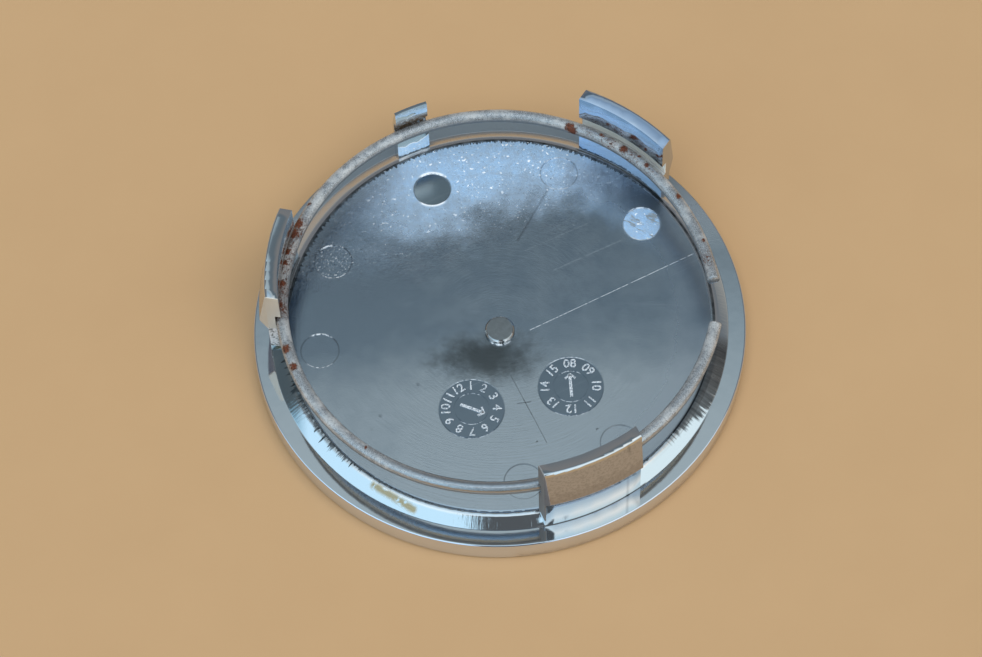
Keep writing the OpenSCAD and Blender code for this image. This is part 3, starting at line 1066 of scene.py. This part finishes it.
def zinc_wire():
    material, tree, shader = start_material("zinc_wire")
    cap = cap_place(tree)
    place, height = cap["Place"], cap["Height"]
    across = add_node(tree, "ShaderNodeSeparateXYZ", {"Vector": place}).outputs
    rubbed = product(tree, rise(tree, across["Y"], -19.0, -26.0), rise(tree, across["X"], -20.0, -8.0))
    beneath = rise(tree, height, RING_Z - 0.1, RING_Z - 0.6)
    # Painted shade: a thin dark line low on the wire.
    low_shade_line = product(
        tree, rise(tree, height, RING_Z + 0.35, RING_Z + 0.15),
        rise(tree, height, RING_Z - 0.65, RING_Z - 0.5),
    )
    patch = grain(tree, place, 0.35, 4, 0.6)
    bloom = grain(tree, place, 2.6, 5, 0.7)
    speck = grain(tree, place, 7.5, 3, 0.6)
    pits = product(tree, rise(tree, speck, 0.40, 0.30), rise(tree, bloom, 0.35, 0.6))
    chalk = product(tree, rise(tree, patch, 0.46, 0.62), rise(tree, speck, 0.3, 0.6), inverse(tree, rubbed))
    rusty, tinge = rust_masks(tree, place)
    rust_colour = blend(tree, rise(tree, speck, 0.38, 0.6), RUST_DARK, RUST_RED)
    colour = blend(tree, rise(tree, bloom, 0.3, 0.7), ZINC_DARK, ZINC_PALE)
    colour = cover(tree, colour, ZINC_RUBBED, rubbed, 0.7)
    colour = cover(tree, colour, ZINC_CHALK, chalk, 0.75)
    colour = cover(tree, colour, ZINC_BENEATH, beneath, 0.8)
    colour = cover(tree, colour, LOW_SHADE_LINE, low_shade_line, 0.8)
    colour = cover(tree, colour, PIT_BLACK, pits, 0.85)
    colour = cover(tree, colour, RUST_TINGE, tinge, 0.5)
    colour = cover(tree, colour, rust_colour, rusty)
    dull = calc(tree, "MAXIMUM", rusty, product(tree, chalk, 0.55))
    metal = total(tree, 0.6, product(tree, rubbed, 0.35), product(tree, dull, -0.6))
    metal = product(tree, metal, inverse(tree, low_shade_line))
    rough = total(
        tree, spread(tree, speck, 0.20, 0.34), product(tree, dull, 0.3), product(tree, rubbed, -0.08),
        product(tree, low_shade_line, 0.4),
    )
    surface = total(
        tree, spread(tree, speck, 0.0, 0.028), product(tree, pits, -0.03), product(tree, rusty, 0.05),
    )
    normal = relief_normal(tree, surface)
    fill(tree, shader, {"Base Color": colour, "Metallic": metal, "Roughness": rough, "Normal": normal})
    return material


wire = ring_wire()
zinc = zinc_wire()
finish_piece(wire, zinc)
finish_piece(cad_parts["retaining_ring"], zinc)

# %% [markdown]
# ## Date dials
#
# Two round inserts in the mould left their print in the floor: plain numbers in a
# circle, and an arrow on the disc that is turned to the number meant. The numbers
# are font outlines with a little height and a soft edge, made into a mesh before
# they are set in place, and the arrow is a thin slab with a pointed head.

# %% Date dials
NUMBER_HEIGHT = 0.13 * MM
NUMBER_SIZE = 1.85 * MM
NUMBER_CIRCLE_R = 3.55 * MM
MONTHS = [str(month) for month in range(1, 13)]
YEARS = [f"{year:02d}" for year in range(8, 16)]
MONTH_ARROW, YEAR_ARROW = -24, 92
PRINT_GREY = (0.24, 0.30, 0.36)


def raised_number(words, mesh, place):
    curve = bpy.data.curves.new("number", "FONT")
    curve.body = words
    curve.size = NUMBER_SIZE
    curve.extrude = 0.02 * MM
    curve.bevel_depth = NUMBER_HEIGHT / 2 - curve.extrude
    curve.bevel_resolution = 2
    curve.offset = -0.015 * MM
    curve.align_x = "CENTER"
    curve.align_y = "CENTER"
    curve.resolution_u = 3
    text = bpy.data.objects.new("number", curve)
    bpy.context.scene.collection.objects.link(text)
    bpy.context.view_layer.update()
    data = bpy.data.meshes.new_from_object(text.evaluated_get(bpy.context.evaluated_depsgraph_get()))
    data.transform(place)
    mesh.from_mesh(data)
    bpy.data.objects.remove(text)
    bpy.data.curves.remove(curve)
    bpy.data.meshes.remove(data)


def arrow(mesh, place):
    shaft = bmesh.ops.create_cube(mesh, size=1)["verts"]
    bmesh.ops.scale(mesh, vec=(0.42 * MM, 3.4 * MM, NUMBER_HEIGHT), verts=shaft)
    made = shaft[:]
    for side in (-1, 1):
        barb = bmesh.ops.create_cube(mesh, size=1)["verts"]
        bmesh.ops.scale(mesh, vec=(0.32 * MM, 1.0 * MM, NUMBER_HEIGHT), verts=barb)
        bmesh.ops.rotate(mesh, matrix=Matrix.Rotation(math.radians(48 * side), 3, "Z"), verts=barb)
        bmesh.ops.translate(mesh, vec=(0.36 * side * MM, 1.55 * MM, 0), verts=barb)
        made += barb
    bmesh.ops.transform(mesh, matrix=place, verts=made)


def date_dial(name, centre, numbers, arrow_degrees):
    mesh = bmesh.new()
    middle = Matrix.Translation((centre[0] * MM, centre[1] * MM, FLOOR_Z * MM + NUMBER_HEIGHT / 2))
    for index, words in enumerate(numbers):
        turn = Matrix.Rotation(math.radians(-360 * index / len(numbers)), 4, "Z")
        raised_number(words, mesh, middle @ turn @ Matrix.Translation((0, NUMBER_CIRCLE_R, 0)))
    arrow(mesh, middle @ Matrix.Rotation(math.radians(arrow_degrees - 90), 4, "Z"))
    bmesh.ops.remove_doubles(mesh, verts=mesh.verts, dist=0.001 * MM)
    piece = add_piece(name, mesh)
    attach(piece, "root")
    return piece


def raised_plating():
    material, tree, shader = start_material("raised_plating")
    place = cap_place(tree)["Place"]
    fine = grain(tree, place, 6.0, 3)
    # The white flecks on the numbers are painted glints.
    fill(tree, shader, {
        "Base Color": blend(tree, rise(tree, fine, 0.40, 0.54), PRINT_GREY, WHITE),
        "Metallic": 0.5,
        "Roughness": spread(tree, fine, 0.10, 0.36),
        "Normal": relief_normal(tree, spread(tree, fine, 0.0, 0.06)),
    })
    return material


relief = raised_plating()
finish_piece(date_dial("month_dial_numbers", DIALS[0], MONTHS, MONTH_ARROW), relief)
finish_piece(date_dial("year_dial_numbers", DIALS[1], YEARS, YEAR_ARROW), relief)

# %% [markdown]
# ## Floor
#
# A plain pale floor, big enough to fill the view and what the plating mirrors.

# %% Floor
FLOOR_HALF = 1.5
FLOOR_TINTS = (0.475, 0.293, 0.148), (0.51, 0.318, 0.163)


def pale_floor():
    material, tree, shader = start_material("pale_floor")
    where = add_node(tree, "ShaderNodeTexCoord").outputs["Object"]
    tint = blend(tree, grain(tree, where, 60, 5, 0.6), *FLOOR_TINTS)
    fill(tree, shader, {"Base Color": tint, "Roughness": 0.9})
    mesh = bmesh.new()
    bmesh.ops.create_grid(mesh, x_segments=1, y_segments=1, size=FLOOR_HALF)
    floor = add_piece("floor", mesh)
    finish_piece(floor, material)
    return floor


pale_floor()

# %% [markdown]
# ## Light
#
# The plating shows nothing but what stands around it. The far sky is darker low
# down and bright overhead, and the near side is bright from low down, apart from
# the dark shape of whoever looks at the cap.

# %% Sky


def ramp(tree, factor, stops):
    node = add_node(tree, "ShaderNodeValToRGB", {"Fac": factor})
    elements = node.color_ramp.elements
    while len(elements) < len(stops):
        elements.new(0.5)
    for element, (place, colour) in zip(elements, stops):
        element.position = place
        element.color = (*colour, 1)
    return node.outputs["Color"]


FAR_SKY = [
    (0.0, (0.50, 0.46, 0.40)),
    (0.15, (0.40, 0.39, 0.36)),
    (0.34, (0.18, 0.20, 0.22)),
    (0.72, (0.24, 0.235, 0.235)),
    (0.80, (0.14, 0.175, 0.20)),
    (0.856, (0.15, 0.19, 0.22)),
    (0.872, (0.30, 0.38, 0.43)),
    (0.885, (0.43, 0.51, 0.55)),
    (0.915, (0.46, 0.55, 0.60)),
    (0.943, (0.34, 0.46, 0.57)),
    (1.0, (0.55, 0.72, 0.88)),
]
NEAR_SKY = [
    (0.0, (0.45, 0.40, 0.33)),
    (0.2, (0.50, 0.55, 0.58)),
    (0.4, (0.74, 1.06, 1.30)),
    (0.75, (0.76, 1.08, 1.30)),
    (0.87, (1.10, 1.28, 1.38)),
    (1.0, (0.62, 0.80, 0.95)),
]
RIGHT_HAZE = (0.33, 0.29, 0.26)
RIGHT_TINT = (1.25, 1.02, 0.88)
WATCHER = (0.11, 0.12, 0.13)
SUN_STRENGTH = 1.9
SUN_WIDTH = math.radians(60)
SUN_LEAN = (math.radians(14), math.radians(6), 0)


def soft_sky():
    world = bpy.data.worlds.new("soft_sky")
    world.use_nodes = True
    bpy.context.scene.world = world
    tree = world.node_tree
    way = add_node(tree, "ShaderNodeTexCoord").outputs["Generated"]
    parts = add_node(tree, "ShaderNodeSeparateXYZ", {"Vector": way}).outputs
    x, y, z = parts["X"], parts["Y"], parts["Z"]
    far = ramp(tree, z, FAR_SKY)
    near = ramp(tree, z, NEAR_SKY)
    to_right = rise(tree, x, 0.0, 0.5)
    inputs = {0: to_right, 6: near, 7: (*RIGHT_TINT, 1)}
    tinted = add_node(tree, "ShaderNodeMix", inputs, data_type="RGBA", blend_type="MULTIPLY")
    low_turn = rise(tree, total(tree, y, product(tree, to_right, 0.05)), 0.06, 0.13)
    high_turn = rise(tree, y, -0.25, 0.28)
    climb = rise(tree, z, 0.55, 0.8)
    low_part = product(tree, low_turn, minus(tree, 1.0, climb))
    turn = total(tree, product(tree, high_turn, climb), low_part)
    both = blend(tree, turn, tinted.outputs[2], far)
    haze = product(
        tree, rise(tree, x, 0.6, 0.75), rise(tree, z, 0.7, 0.6),
        rise(tree, y, 0.0, 0.08), rise(tree, y, 0.3, 0.2),
    )
    both = blend(tree, haze, both, RIGHT_HAZE)
    watcher = product(
        tree,
        rise(tree, apart(tree, x, 0.02), 0.21, 0.16),
        rise(tree, y, -0.42, -0.5),
    )
    seen = blend(tree, watcher, both, WATCHER)
    fill(tree, tree.nodes["Background"], {"Color": seen, "Strength": 1})


soft_sky()
sun = bpy.data.objects.new("sun", bpy.data.lights.new("sun", "SUN"))
sun.data.energy = SUN_STRENGTH
sun.data.angle = SUN_WIDTH
sun.rotation_euler = SUN_LEAN
sun.visible_glossy = False
bpy.context.scene.collection.objects.link(sun)
bpy.context.scene.view_settings.view_transform = "Standard"
